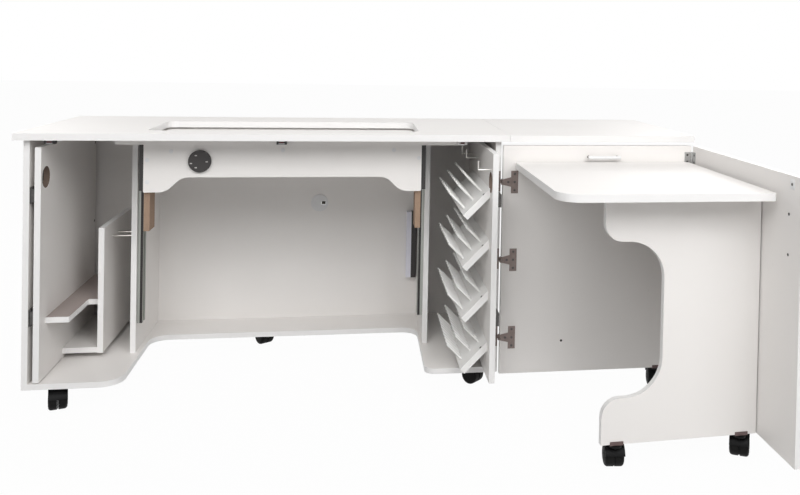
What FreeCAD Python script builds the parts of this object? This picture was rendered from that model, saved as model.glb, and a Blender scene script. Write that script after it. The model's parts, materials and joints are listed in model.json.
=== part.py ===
import FreeCAD, Part
import math
import os

# A sewing cabinet of white board, standing opened out on casters. Lengths are in millimetres.
# X runs right along the worktop's front edge, Y runs back from that edge, Z is up from the floor.
Vec = FreeCAD.Vector

# Worktop and carcass
worktop_width = 1354.0
worktop_depth = 572.0
worktop_height = 768.0
worktop_thick = 19.0
board = 16.0
side_overhang = 22.0
front_overhang = 20.0
back_overhang = 15.0
back_panel_thick = 12.0
left_bay = 210.0              # clear width between the left end panel and its partition
right_bay = 173.0
partition_setback = 221.0     # carcass front to the partitions' front edges
base_strip_depth = 161.0      # strip along the back that joins the base's two pedestals
pedestal_lip_left = 14.0      # base reaching past a partition into the knee space
pedestal_lip_right = 7.0
pedestal_round_left = 60.0
pedestal_round_right = 30.0
foot_cut_round = 52.0
front_rail_height = 15.0
front_rail_setback = 20.0
front_rail_left = 2.0         # left partition's outer face to the rail's left end
front_rail_right = 90.0       # rail's right end to the right end panel

# Fittings on the carcass
catch_width = 28.0
catch_height = 12.0
catch_gap = 1.0
left_catch_inset = 49.0
middle_catch_shift = 7.0      # middle of the opening to the middle catch
right_catch_inset = 99.0
grommet_radius = 25.0
grommet_flange = 4.0          # the flange's thickness, and its reach past the hole
grommet_wall = 2.0
grommet_from_left = 526.0
grommet_above_base = 394.0
grommet_slot = (6.0, 15.0, 12.0)
case_height = 228.0
case_depth = 30.0
case_body_width = 18.0
case_cover_width = 16.0
case_above_base = 136.0
case_gap = 3.0

# Machine opening and lift
opening_from_left = 56.0      # left partition to the opening
opening_from_right = 31.0
opening_front = 96.0
opening_behind = 176.0        # opening's back edge to the worktop's back edge
opening_round = 30.0
opening_gap = 4.0
platform_thick = 12.0
platform_drop = 24.0          # worktop's top down to the platform's top
valance_thick = 12.0
valance_reach = 12.0          # valance's ends past the platform's ends
valance_tab_height = 142.0
valance_middle_height = 99.0
valance_tab_width = 60.0
valance_slope_width = 45.0
valance_round = 48.0
valance_corner_round = 3.0
side_plate_height = 255.0
side_plate_depth = 64.0
lift_rail_thick = 16.0
lift_rail_width = 36.0
lift_rail_setback = 10.0      # partition's front edge to the rail
lift_rail_above_base = 87.0
groove_width = 12.0
groove_deep = 8.0
carriage_width = 48.0
carriage_inset = 3.0          # carriage's ends inside the valance's top and bottom
carriage_arm = 14.0           # thickness of the arm that reaches forward to the side plate
carriage_gap = 1.0
dial_from_left = 143.0
dial_below_platform = 52.0
dial_radius = 32.0
dial_thick = 8.0
dial_gap = 1.0
dial_edge_round = 2.0
shaft_radius = 6.0
collar_reach = 4.0

# Pull-outs and their slides
slide_gap = 13.0
slide_height = 46.0
slide_inset = 4.0
slide_end_gap = 16.0
low_slide_rise = 177.0        # pull-out's bottom to the low slide's middle
high_slide_drop = 132.0       # pull-out's top to the high slide's middle
channel_thick = 6.0
channel_floor = 2.0
channel_edge = 4.0
member_gap = 1.0
pull_out_under_gap = 3.0
pull_out_top_gap = 21.0
pull_out_back_gap = 25.0
finger_hole_radius = 30.0
finger_hole_inset = 40.0
finger_hole_drop = 86.0
tower_inner_width = 98.0
divider_setback = 186.0
divider_height = 383.0
shelf_setback = 48.0
shelf_rise = 149.0
shelf_step = 37.0             # stepped shelf's narrow front end short of the divider
shelf_step_taper = 3.0
shelf_step_behind = 29.0      # divider's front edge to the shelf's wide part
shelf_round = 5.0
bottom_shelf_rise = 13.0
bottom_shelf_setback = 4.0
hook_wire = 2.0
tower_hook_drop = 44.0
tower_hook_rise = 14.0
tower_hook_spots = (95.0, 153.0)
tower_hook_gap = 8.0
rack_pulled_out = 134.0       # how far the thread rack stands out of the cabinet
rack_hook_drop = 50.0
rack_hook_length = 36.0
rack_hook_rise = 26.0
rack_hook_spots = (41.0, 304.0, 414.0)
lowest_rack_rise = 75.0
highest_rack_drop = 130.0
rack_pitch = 146.0
spool_board = 89.0
spool_thick = 18.0
spool_setback = 48.0
spool_depth = 358.0
spool_pin_radius = 3.0
pin_rows = (23.5, 58.0, 92.5)  # down the spool board's upper face from the panel
pins_in_row = 10
first_pin_setback = 57.0
last_pin_inset = 14.0
pin_gap = 33.0                # lowest pins' tips to the right partition

# Doors, low leaf, leg panel and right leaf
door_gap = 4.0                # carcass front to the closed door's inner face
door_top_gap = 11.0
door_1_width = 578.0
door_2_width = 642.0
hinge_end_inset = 107.0
fold_hinge_low = 72.0
fold_hinge_high = 48.0
fold_gap = 2.0                # between the edges of two boards on one hinge
handle_radius = 5.0
handle_post_share = 0.8       # a post's radius over the bar's
door_1_handle_from_hinges = 256.0
door_1_handle_span = 88.0
door_1_handle_reach = 22.0
door_1_handle_above_leaf = 15.0
door_2_handle_inset = 56.0
door_2_handle_drop = 92.0
door_2_handle_span = 96.0
door_2_handle_reach = 26.0
screw_radius = 2.2
screw_gap = 0.3
screw_head_radius = 4.0
screw_head_thick = 0.5
leaf_drop = 48.0              # door's top to the low leaf's top
leaf_depth = 552.0
leaf_round = 60.0
leaf_corner_round = 6.0
leaf_from_hinges = 35.0
leaf_from_fold = 13.0
leaf_hinge_inset = 90.0
leg_panel_width = 410.0
leg_panel_from_fold = 435.0
leg_panel_turn = 3.0          # degrees the leg panel stands out of parallel with door 1
leg_panel_gap = 3.0
leg_cut_width = 154.0
leg_foot_height = 112.0
leg_arm_height = 108.0
leg_foot_round = 46.0
leg_low_round = 94.0
leg_high_round = 92.0
leg_arm_round = 46.0
leg_hinge_low = 112.0
leg_hinge_high = 120.0
right_leaf_width = 567.0
seam_gap = 1.0
barrel_radius = 6.0
barrel_length = 22.0
barrel_inset = 90.0

# Hinge metal
knuckle_radius = 3.0
knuckle_gap = 0.6
pin_radius = 1.4
hinge_plate = 1.5
hinge_reach = 22.0
hinge_length = 60.0
hinge_end_play = 0.3
hinge_overlap = 0.5
tee_width = 21.0              # head of a T-shaped door hinge
tee_height = 66.0
tee_arm_length = 24.0         # door's edge to the head
tee_arm_root = 28.0
tee_arm_tip = 16.0
mount_knuckle_height = 8.0
mount_edge = 1.0
mount_web = 3.0

# Casters
wheel_radius = 27.0
wheel_width = 22.0
wheel_gap = 0.5
wheel_edge_round = 8.0        # on each wheel's outer edge
axle_radius = 3.0
swivel_height = 12.0          # wheel's top to the board above
swivel_gap = 3.0              # swivel disc to the board above
swivel_radius = 15.0
swivel_thick = 5.0
caster_trail = 24.0
fork_web = 3.0
fork_web_inset = 2.0          # wheels' treads to the edge of the web between them
fork_boss = 11.0
fork_neck_lap = 1.0
hood_gap = 2.0
hood_thick = 2.0
hood_rise = 8.0               # axle's height to the hood's lower edge
stem_radius = 5.0
stem_cover = 5.0              # board left above a stem
left_caster_inset = 62.0
front_left_caster_setback = 53.0
front_right_caster_inset = 59.0
front_right_caster_setback = 114.0
back_caster_inset = 32.0
back_right_caster_inset = 64.0
middle_caster_from_left = 363.0
door_caster_inset = 91.0
leg_caster_inset = 40.0
caster_plate_width = 34.0
caster_plate_thick = 2.0
caster_plate_lip = 7.0

# Clearances shared by many pieces
running_gap = 0.05            # radial gap of a turning fit
fitting_gap = 0.2             # gap round a piece let into a board
loose_gap = 0.4
cut_past = 1.0                # how far a cut runs past the face it opens

# Positions that follow from the sizes above
base_clear = 2 * wheel_radius + swivel_height
base_top = base_clear + board
worktop_under = worktop_height - worktop_thick
carcass_front = front_overhang
carcass_back = worktop_depth - back_overhang
back_front = carcass_back - back_panel_thick
left_inside = side_overhang + board
right_outside = worktop_width - side_overhang
right_inside = right_outside - board
partition_left_x = left_inside + left_bay
partition_right_x = right_inside - right_bay - board
partition_front = carcass_front + partition_setback
knee_left = partition_left_x + board
knee_right = partition_right_x
foot_cut_back = carcass_back - base_strip_depth
opening_left = knee_left + opening_from_left
opening_right = knee_right - opening_from_right
opening_back = worktop_depth - opening_behind
platform_top = worktop_height - platform_drop
platform_under = platform_top - platform_thick
platform_left = opening_left + opening_gap
platform_right = opening_right - opening_gap
platform_front = opening_front + opening_gap
platform_back = opening_back - opening_gap
valance_left = platform_left - valance_reach
valance_right = platform_right + valance_reach
valance_back = platform_front + valance_thick
lift_rail_y = partition_front + lift_rail_setback + lift_rail_width / 2
side_plate_bottom = platform_under - side_plate_height
side_plate_back = valance_back + side_plate_depth
pull_out_bottom = base_top + pull_out_under_gap
pull_out_top = worktop_under - pull_out_top_gap
pull_out_depth = back_front - pull_out_back_gap - carcass_front
slide_length = pull_out_depth - slide_inset - slide_end_gap
slide_heights = (pull_out_bottom + low_slide_rise, pull_out_top - high_slide_drop)
tower_x = left_inside + slide_gap
tower_right = tower_x + board
tower_back = carcass_front + pull_out_depth
rack_right = right_inside - slide_gap
rack_x = rack_right - board
rack_front = carcass_front - rack_pulled_out
door_top = worktop_under - door_top_gap
door_axis_x = right_outside + fold_gap
door_axis_y = carcass_front - door_gap / 2 - board / 2
door_1_left = door_axis_x + fold_gap
door_1_right = door_1_left + door_1_width
door_1_face = door_axis_y - (board - door_gap) / 2
door_1_back = door_1_face + board
fold_axis_x = door_1_right + fold_gap / 2
fold_axis_y = door_1_face - knuckle_radius
door_2_face = fold_axis_x + knuckle_radius
door_2_outside = door_2_face + board
door_2_back = fold_axis_y - fold_gap / 2
door_2_front = door_2_back - door_2_width
leaf_top = door_top - leaf_drop
leaf_under = leaf_top - worktop_thick
leaf_left = door_1_left + leaf_from_hinges
leaf_right = fold_axis_x - leaf_from_fold
leaf_back = door_1_face - 2 * door_gap
leaf_front = leaf_back - leaf_depth
leaf_axis_y = door_1_face - knuckle_radius
leaf_axis_z = leaf_under - knuckle_radius
leg_axis_x = door_2_face - knuckle_radius
leg_axis_y = fold_axis_y - leg_panel_from_fold
leg_back = leg_axis_y - knuckle_radius
leg_front = leg_back - board
leg_middle = leg_back - board / 2
leg_right = leg_axis_x - fold_gap / 2
leg_left = leg_right - leg_panel_width
leg_top = leaf_under - leg_panel_gap
right_leaf_x = worktop_width + seam_gap
middle_x = (door_2_outside + door_2_handle_reach + handle_radius) / 2
middle_y = (worktop_depth + door_2_front) / 2

left = Vec(-1, 0, 0)
right = Vec(1, 0, 0)
front = Vec(0, -1, 0)
back = Vec(0, 1, 0)
down = Vec(0, 0, -1)
up = Vec(0, 0, 1)
parts = {}


def box(x0, x1, y0, y1, z0, z1):
    """A block between two limits each way, in either order along X."""
    return Part.makeBox(abs(x1 - x0), y1 - y0, z1 - z0, Vec(min(x0, x1), y0, z0))


def rod(start, end, radius):
    along = end - start
    return Part.makeCylinder(radius, along.Length, start, along)


def rounded_face(corners, place):
    """A flat face with rounded corners. Each corner is (a, b, radius); place(a, b) gives its point."""
    count = len(corners)
    points = [Vec(a, b, 0) for a, b, radius in corners]
    halves = []
    reaches = []
    for i in range(count):
        before = points[i - 1] - points[i]
        after = points[(i + 1) % count] - points[i]
        halves.append(before.getAngle(after) / 2)
        reaches.append(corners[i][2] / math.tan(halves[i]))
    limits = list(reaches)
    for i in range(count):
        following = (i + 1) % count
        needed = reaches[i] + reaches[following]
        room = (points[following] - points[i]).Length
        if needed > room:
            limits[i] = min(limits[i], reaches[i] * room / needed)
            limits[following] = min(limits[following], reaches[following] * room / needed)
    bends = []
    for i in range(count):
        before = (points[i - 1] - points[i]).normalize()
        after = (points[(i + 1) % count] - points[i]).normalize()
        radius = limits[i] * math.tan(halves[i])
        depth = radius / math.sin(halves[i]) - radius
        middle = points[i] + (before + after).normalize() * depth if radius else points[i]
        bends.append((points[i] + before * limits[i], middle, points[i] + after * limits[i]))
    edges = []
    for i in range(count):
        start, middle, end = (place(p.x, p.y) for p in bends[i])
        next_start = bends[(i + 1) % count][0]
        following = place(next_start.x, next_start.y)
        if limits[i] > 0:
            edges.append(Part.Arc(start, middle, end).toShape())
        if (following - end).Length > 0.001:
            edges.append(Part.makeLine(end, following))
    return Part.Face(Part.Wire(edges))


def flat_plate(corners, z0, z1):
    """A rounded outline seen from above, given thickness upwards."""
    return rounded_face(corners, lambda a, b: Vec(a, b, z0)).extrude(Vec(0, 0, z1 - z0))


def front_plate(corners, y0, y1):
    """A rounded outline seen from the front, given thickness backwards."""
    return rounded_face(corners, lambda a, b: Vec(a, y0, b)).extrude(Vec(0, y1 - y0, 0))


def rounded_rectangle(x0, x1, y0, y1, radius):
    return [(x0, y0, radius), (x1, y0, radius), (x1, y1, radius), (x0, y1, radius)]


def round_edges(shape):
    return [edge for edge in shape.Edges if isinstance(edge.Curve, Part.Circle)]


def fused(shapes):
    return shapes[0].multiFuse(list(shapes[1:])).removeSplitter()


def cut_by(shape, tools):
    for tool in tools:
        shape = shape.cut(tool)
    return shape


def block(corner, along_a, along_b, along_c):
    """A block from one corner and its three edges, turned any way."""
    points = [corner, corner + along_a, corner + along_a + along_b, corner + along_b, corner]
    return Part.Face(Part.makePolygon(points)).extrude(along_c)


def turned(shape, at, axis, degrees):
    copy = shape.copy()
    copy.rotate(at, axis, degrees)
    return copy


def bow_handle(first, second, out):
    """Two posts and a bar between them. The posts start at two points and stand out along a vector."""
    along = (second - first).normalize()
    bar = rod(first + out - along * handle_radius, second + out + along * handle_radius, handle_radius)
    post_radius = handle_radius * handle_post_share
    return fused([bar, rod(first, first + out, post_radius), rod(second, second + out, post_radius)])


def hinge_leaf(at, axis, along, out, spans, bored):
    """One leaf of a butt hinge. Its plate lies on a board's face, a knuckle's radius behind the pin."""
    half = axis * (hinge_length / 2)
    near = knuckle_radius + knuckle_gap
    floor = at - out * knuckle_radius
    thick = out * hinge_plate
    shapes = [block(floor + along * near - half, along * (hinge_reach - near), half * 2, thick)]
    for low, high in spans:
        strap = block(floor + axis * low, along * (near + hinge_overlap), axis * (high - low), thick)
        shapes.append(strap)
        shapes.append(rod(at + axis * low, at + axis * high, knuckle_radius))
    if bored:
        return fused(shapes).cut(rod(at - half, at + half, pin_radius + running_gap))
    shapes.append(rod(at - half, at + half, pin_radius))
    return fused(shapes)


def butt_hinges(spots, axis, fixed, moving):
    """Rows of fixed and moving leaves, the fixed ones with the pins. Each of the pair is (along, out)."""
    end = hinge_length / 2
    inner = hinge_length / 6
    middle_span = [(hinge_end_play - inner, inner - hinge_end_play)]
    end_spans = [(-end, -inner), (inner, end)]
    mounts = [hinge_leaf(at, axis, *fixed, middle_span, False) for at in spots]
    flaps = [hinge_leaf(at, axis, *moving, end_spans, True) for at in spots]
    return mounts, flaps


# Casters: twin wheels on a trailing fork whose stem turns in the board above. The third value of a spot
# is the way that the wheels trail, in degrees from right
swivel_top = base_clear - swivel_gap
stem_top = base_top - stem_cover
leg_fold_corner = Vec(leg_axis_x, leg_axis_y, 0)
left_caster_x = left_inside + left_caster_inset
front_right_caster_x = right_inside - front_right_caster_inset
back_caster_y = back_front - back_caster_inset
trail_back = 81
caster_spots = {
    "front_left": (left_caster_x, carcass_front + front_left_caster_setback, -72),
    "front_right": (front_right_caster_x, carcass_front + front_right_caster_setback, -45),
    "back_left": (left_caster_x, back_caster_y, trail_back),
    "back_middle": (knee_left + middle_caster_from_left, back_caster_y, 125),
    "back_right": (right_inside - back_right_caster_inset, back_caster_y, trail_back),
    "door": (door_1_right - door_caster_inset, (door_1_face + door_1_back) / 2, trail_back),
    "leg_outer": (leg_left + leg_caster_inset, leg_middle, trail_back),
    "leg_inner": (leg_right - leg_caster_inset, leg_middle, 60),
}
base_casters = ("front_left", "front_right", "back_left", "back_middle", "back_right")
leg_casters = ("leg_outer", "leg_inner")


def across(at, half, radius):
    """A cylinder lying across the caster, the same length to each side of a point."""
    return rod(at + front * half, at + back * half, radius)


def caster_fork():
    axle = Vec(caster_trail, 0, wheel_radius)
    web = fork_web / 2
    hood_half = web + wheel_gap + wheel_width + wheel_gap
    hood_inside = wheel_radius + hood_gap
    disc = rod(Vec(0, 0, swivel_top - swivel_thick), Vec(0, 0, swivel_top), swivel_radius)
    stem = rod(Vec(0, 0, swivel_top), Vec(0, 0, stem_top), stem_radius)
    neck_top = swivel_top - swivel_thick + fork_neck_lap
    neck_outline = [
        (-swivel_radius / 2, neck_top, 0),
        (swivel_radius, neck_top, 0),
        (caster_trail + fork_boss, wheel_radius, 0),
        (caster_trail - fork_boss, wheel_radius, 0),
    ]
    neck = front_plate(neck_outline, -web, web)
    hood = across(axle, hood_half, hood_inside + hood_thick)
    hood = hood.cut(across(axle, hood_half + cut_past, hood_inside))
    rib = across(axle, web, hood_inside + hood_thick / 2)
    reach = 2 * wheel_radius
    above = box(axle.x - reach, axle.x + reach, -reach, reach, wheel_radius + hood_rise, wheel_radius + reach)
    between = across(axle, web, wheel_radius - fork_web_inset)
    fork = fused([disc, stem, neck, between, hood.common(above), rib.common(above)])
    return fork.cut(across(axle, reach, axle_radius + running_gap))


def caster_wheels():
    axle = Vec(caster_trail, 0, wheel_radius)
    inner = fork_web / 2 + wheel_gap
    shapes = [across(axle, inner + wheel_width / 2, axle_radius)]
    for side in (front, back):
        wheel = rod(axle + side * inner, axle + side * (inner + wheel_width), wheel_radius)
        far_out = inner + wheel_width / 2
        outer = [edge for edge in round_edges(wheel) if (edge.CenterOfMass - axle).dot(side) > far_out]
        shapes.append(wheel.makeFillet(wheel_edge_round, outer))
    return fused(shapes)


def stem_hole(name):
    x, y, angle = caster_spots[name]
    low = Vec(x, y, base_clear - cut_past)
    return rod(low, Vec(x, y, stem_top + cut_past), stem_radius + running_gap)


for name, (x, y, angle) in caster_spots.items():
    for piece, shape in (("fork", caster_fork()), ("wheels", caster_wheels())):
        shape.rotate(Vec(0, 0, 0), up, angle)
        shape.translate(Vec(x, y, 0))
        if name in leg_casters:
            shape = turned(shape, leg_fold_corner, up, leg_panel_turn)
        parts["caster_" + name + "_" + piece] = shape

# Carcass: worktop, end panels, partitions, base, back panel and the rail under the worktop's front
worktop = box(0, worktop_width, 0, worktop_depth, worktop_under, worktop_height)
opening = rounded_rectangle(opening_left, opening_right, opening_front, opening_back, opening_round)
parts["worktop"] = worktop.cut(flat_plate(opening, worktop_under - cut_past, worktop_height + cut_past))
panel_span = (carcass_front, carcass_back, base_clear, worktop_under)
parts["end_panel_left"] = box(side_overhang, left_inside, *panel_span)
parts["end_panel_right"] = box(right_inside, right_outside, *panel_span)
partition_span = (partition_front, back_front, base_top, worktop_under)
parts["partition_left"] = box(partition_left_x, knee_left, *partition_span)
parts["partition_right"] = box(partition_right_x, partition_right_x + board, *partition_span)
foot_left = knee_left + pedestal_lip_left
foot_right = knee_right - pedestal_lip_right
base_outline = [
    (left_inside, carcass_front, 0),
    (foot_left, carcass_front, pedestal_round_left),
    (foot_left, foot_cut_back, foot_cut_round),
    (foot_right, foot_cut_back, foot_cut_round),
    (foot_right, carcass_front, pedestal_round_right),
    (right_inside, carcass_front, 0),
    (right_inside, carcass_back, 0),
    (left_inside, carcass_back, 0),
]
base = flat_plate(base_outline, base_clear, base_top)
parts["base"] = cut_by(base, [stem_hole(name) for name in base_casters])
grommet_at = Vec(knee_left + grommet_from_left, back_front, base_top + grommet_above_base)
grommet_back = grommet_at + back * back_panel_thick
back_panel = box(left_inside, right_inside, back_front, carcass_back, base_top, worktop_under)
hole_ends = (grommet_at + front * cut_past, grommet_back + back * cut_past)
grommet_hole = rod(*hole_ends, grommet_radius + fitting_gap)
parts["back_panel"] = back_panel.cut(grommet_hole)
front_rail_y = carcass_front + front_rail_setback
front_rail_span = (front_rail_y, front_rail_y + board, worktop_under - front_rail_height, worktop_under)
front_rail_start = partition_left_x + front_rail_left
parts["front_rail"] = box(front_rail_start, right_inside - front_rail_right, *front_rail_span)

# Fittings on the carcass: magnetic catches, cable grommet with a side slot, and a narrow upright case
opening_middle = (opening_left + opening_right) / 2
catch_spots = (
    left_inside + left_catch_inset,
    opening_middle - middle_catch_shift,
    right_inside - right_catch_inset,
)
catch_bottom = worktop_under - catch_height
catch_span = (carcass_front + catch_gap, front_rail_y - catch_gap, catch_bottom, worktop_under)
catches = [box(x - catch_width / 2, x + catch_width / 2, *catch_span) for x in catch_spots]
parts["magnetic_catches"] = Part.makeCompound(catches)
flange = rod(grommet_at + front * grommet_flange, grommet_at, grommet_radius + grommet_flange)
sleeve = rod(grommet_at, grommet_back, grommet_radius)
sleeve = sleeve.cut(rod(grommet_at, grommet_back, grommet_radius - grommet_wall))
slot_start, slot_long, slot_tall = grommet_slot
slot_left = grommet_at.x + slot_start
slot_low = grommet_at.z - slot_tall / 2
slot_front = back_front - grommet_flange - cut_past
slot_span = (slot_front, back_front + cut_past, slot_low, slot_low + slot_tall)
slot = box(slot_left, slot_left + slot_long, *slot_span)
parts["cable_grommet"] = fused([flange, sleeve]).cut(slot)
case_right = knee_right - case_gap
case_seam = case_right - case_body_width
case_bottom = base_top + case_above_base
case_span = (back_front - case_depth, back_front, case_bottom, case_bottom + case_height)
parts["upright_case"] = box(case_seam, case_right, *case_span)
parts["upright_case_cover"] = box(case_seam - case_cover_width, case_seam, *case_span)

# Machine lift: platform, valance, side plates, and carriages whose tongues run in grooved rails
platform_round = opening_round - opening_gap
platform = rounded_rectangle(platform_left, platform_right, platform_front, platform_back, platform_round)
parts["lift_platform"] = flat_plate(platform, platform_under, platform_top)
tab = valance_tab_width
slope = valance_tab_width + valance_slope_width
tab_bottom = platform_under - valance_tab_height
middle_bottom = platform_under - valance_middle_height
valance_outline = [
    (valance_left, platform_under, 0),
    (valance_left, tab_bottom, valance_corner_round),
    (valance_left + tab, tab_bottom, valance_round),
    (valance_left + slope, middle_bottom, valance_round),
    (valance_right - slope, middle_bottom, valance_round),
    (valance_right - tab, tab_bottom, valance_round),
    (valance_right, tab_bottom, valance_corner_round),
    (valance_right, platform_under, 0),
]
dial_at = Vec(platform_left + dial_from_left, platform_front, platform_under - dial_below_platform)
dial_back = dial_at + front * dial_gap
collar_front = dial_at + back * (valance_thick + dial_gap)
valance = front_plate(valance_outline, platform_front, valance_back)
shaft_hole = rod(dial_back, collar_front, shaft_radius + running_gap)
parts["lift_valance"] = valance.cut(shaft_hole)
dial = rod(dial_back + front * dial_thick, dial_back, dial_radius)
dial_rim = min(round_edges(dial), key=lambda edge: edge.CenterOfMass.y)
dial = dial.makeFillet(dial_edge_round, [dial_rim])
collar = rod(collar_front, collar_front + back * collar_reach, shaft_radius + collar_reach)
shaft = rod(dial_back + front * dial_thick / 2, collar_front + back * collar_reach / 2, shaft_radius)
parts["control_dial"] = fused([dial, shaft, collar])
plate_span = (valance_back, side_plate_back, side_plate_bottom, platform_under)
side_plates = [box(x, x + board, *plate_span) for x in (valance_left, valance_right - board)]
parts["lift_side_plates"] = Part.makeCompound(side_plates)
lift_rail_bottom = base_top + lift_rail_above_base
carriage_span = (tab_bottom + carriage_inset, platform_under - carriage_inset)


def about_rail(width):
    """Front and back limits of something centred on the lift rails."""
    return lift_rail_y - width / 2, lift_rail_y + width / 2


rails = []
carriages = []
for wall, inward, plate in ((knee_left, 1, valance_left), (knee_right, -1, valance_right)):
    face = wall + inward * lift_rail_thick
    groove_floor = face - inward * groove_deep
    near = face + inward * carriage_gap
    tip = groove_floor + inward * carriage_gap
    rail = box(wall, face, *about_rail(lift_rail_width), lift_rail_bottom, platform_under)
    groove = box(groove_floor, face, *about_rail(groove_width), lift_rail_bottom, platform_under)
    rails.append(rail.cut(groove))
    body = box(near, plate, *about_rail(carriage_width), *carriage_span)
    tongue = box(tip, near, *about_rail(groove_width - 2 * carriage_gap), *carriage_span)
    arm_span = (valance_back, about_rail(carriage_width)[0])
    arm = box(plate - inward * carriage_arm, plate, *arm_span, *carriage_span)
    carriages.append(fused([body, tongue, arm]))
parts["lift_rails"] = Part.makeCompound(rails)
parts["lift_carriages"] = Part.makeCompound(carriages)


# Telescopic slides: channels on the end panels, members on the pull-outs
def slide_pair(wall, inward, panel, channel_front, member_front):
    channels = []
    members = []
    mouth = wall + inward * channel_thick
    floor = wall + inward * channel_floor
    near = floor + inward * member_gap
    tall = slide_height / 2
    inner = tall - channel_edge
    slim = inner - member_gap
    channel_back = channel_front + slide_length
    member_back = member_front + slide_length
    for z in slide_heights:
        channel = box(wall, mouth, channel_front, channel_back, z - tall, z + tall)
        hollow = box(floor, mouth, channel_front, channel_back, z - inner, z + inner)
        channels.append(channel.cut(hollow))
        members.append(box(near, panel, member_front, member_back, z - slim, z + slim))
    return channels, Part.makeCompound(members)


slide_front = carcass_front + slide_inset
tower_slides = slide_pair(left_inside, 1, tower_x, slide_front, slide_front)
rack_slides = slide_pair(right_inside, -1, rack_right, slide_front, slide_front - rack_pulled_out)
parts["slide_channels"] = Part.makeCompound(tower_slides[0] + rack_slides[0])
parts["tower_slide_members"] = tower_slides[1]
parts["rack_slide_members"] = rack_slides[1]

# Left pull-out tower: panel with a finger hole, stepped shelf, bottom shelf and a short divider with hooks
divider_left = tower_right + tower_inner_width
divider_right = divider_left + board
divider_front = carcass_front + divider_setback
divider_top = pull_out_bottom + divider_height
shelf_front = carcass_front + shelf_setback
shelf_wide_front = divider_front + shelf_step_behind
shelf_z = pull_out_bottom + shelf_rise
bottom_shelf_z = pull_out_bottom + bottom_shelf_rise
bottom_shelf_front = divider_front + bottom_shelf_setback


def finger_panel(x0, x1, y0):
    panel = box(x0, x1, y0, y0 + pull_out_depth, pull_out_bottom, pull_out_top)
    start = Vec(x0 - cut_past, y0 + finger_hole_inset, pull_out_top - finger_hole_drop)
    return panel.cut(rod(start, start + right * (board + 2 * cut_past), finger_hole_radius))


def wire_hook(start, along, length, rise):
    bend = start + along * length
    corner = Part.makeSphere(hook_wire, bend)
    return fused([rod(start, bend, hook_wire), corner, rod(bend, bend + up * rise, hook_wire)])


parts["tower_panel"] = finger_panel(tower_x, tower_right, carcass_front)
shelf_outline = [
    (tower_right, shelf_front, 0),
    (divider_left - shelf_step, shelf_front, shelf_round),
    (divider_left - shelf_step + shelf_step_taper, shelf_wide_front, shelf_round),
    (divider_left, shelf_wide_front, 0),
    (divider_left, tower_back, 0),
    (tower_right, tower_back, 0),
]
shelf = flat_plate(shelf_outline, shelf_z, shelf_z + board)
bottom_span = (bottom_shelf_front, tower_back, bottom_shelf_z, bottom_shelf_z + board)
parts["tower_shelves"] = Part.makeCompound([shelf, box(tower_right, divider_left, *bottom_span)])
divider_span = (divider_front, tower_back, bottom_shelf_z, divider_top)
parts["tower_divider"] = box(divider_left, divider_right, *divider_span)
tower_hook_length = partition_left_x - divider_right - tower_hook_gap
tower_hook_z = divider_top - tower_hook_drop
hook_roots = [Vec(divider_right, divider_front + spot, tower_hook_z) for spot in tower_hook_spots]
tower_hooks = [wire_hook(root, right, tower_hook_length, tower_hook_rise) for root in hook_roots]
parts["tower_hooks"] = Part.makeCompound(tower_hooks)

# Right pull-out thread rack: panel with a finger hole and tilted boards with rows of spool pins
lowest_rack_z = pull_out_bottom + lowest_rack_rise
rack_room = pull_out_top - highest_rack_drop - lowest_rack_z
rack_count = math.floor(rack_room / rack_pitch + 0.001) + 1
spool_front = rack_front + spool_setback
diagonal = math.sqrt(2)
slant_out = Vec(-1, 0, -1) / diagonal
slant_up = Vec(-1, 0, 1) / diagonal
pin_room = (rack_x - partition_right_x - board - pin_gap) * diagonal
pin_length = pin_room - pin_rows[-1] - spool_pin_radius
pin_step = (spool_depth - first_pin_setback - last_pin_inset) / (pins_in_row - 1)


def spool_rack(z):
    """The solids of one rack: a tilted board, and the pins that stand square on its upper face."""
    root = Vec(rack_x, spool_front, z)
    lower = root + slant_out * spool_board
    upper_root = root + up * (spool_thick * diagonal)
    profile = [root, lower, lower + slant_up * spool_thick, upper_root, root]
    solids = [Part.Face(Part.makePolygon(profile)).extrude(back * spool_depth)]
    for place in pin_rows:
        for i in range(pins_in_row):
            foot = upper_root + slant_out * place + back * (first_pin_setback + pin_step * i)
            solids.append(rod(foot, foot + slant_up * pin_length, spool_pin_radius))
    return solids


parts["rack_panel"] = finger_panel(rack_x, rack_right, rack_front)
spool_racks = []
for i in range(rack_count):
    spool_racks += spool_rack(lowest_rack_z + rack_pitch * i)
parts["spool_racks"] = Part.makeCompound(spool_racks)
rack_hook_z = pull_out_top - rack_hook_drop
hook_roots = [Vec(rack_x, rack_front + spot, rack_hook_z) for spot in rack_hook_spots]
rack_hooks = [wire_hook(root, left, rack_hook_length, rack_hook_rise) for root in hook_roots]
parts["rack_hooks"] = Part.makeCompound(rack_hooks)

# Door 1 on three T-shaped hinges. The pin stands beside the end panel, half a board in front of it
tee_half = tee_height / 2
root_half = tee_arm_root / 2
tip_half = tee_arm_tip / 2
knuckle_half = mount_knuckle_height / 2
tip_start = knuckle_half + hinge_overlap
tee_left = door_1_left + tee_arm_length
strap_left = door_axis_x - pin_radius - knuckle_gap
tee_front = door_1_face - hinge_plate
low_hinge_z = base_clear + hinge_end_inset
high_hinge_z = door_top - hinge_end_inset


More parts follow.
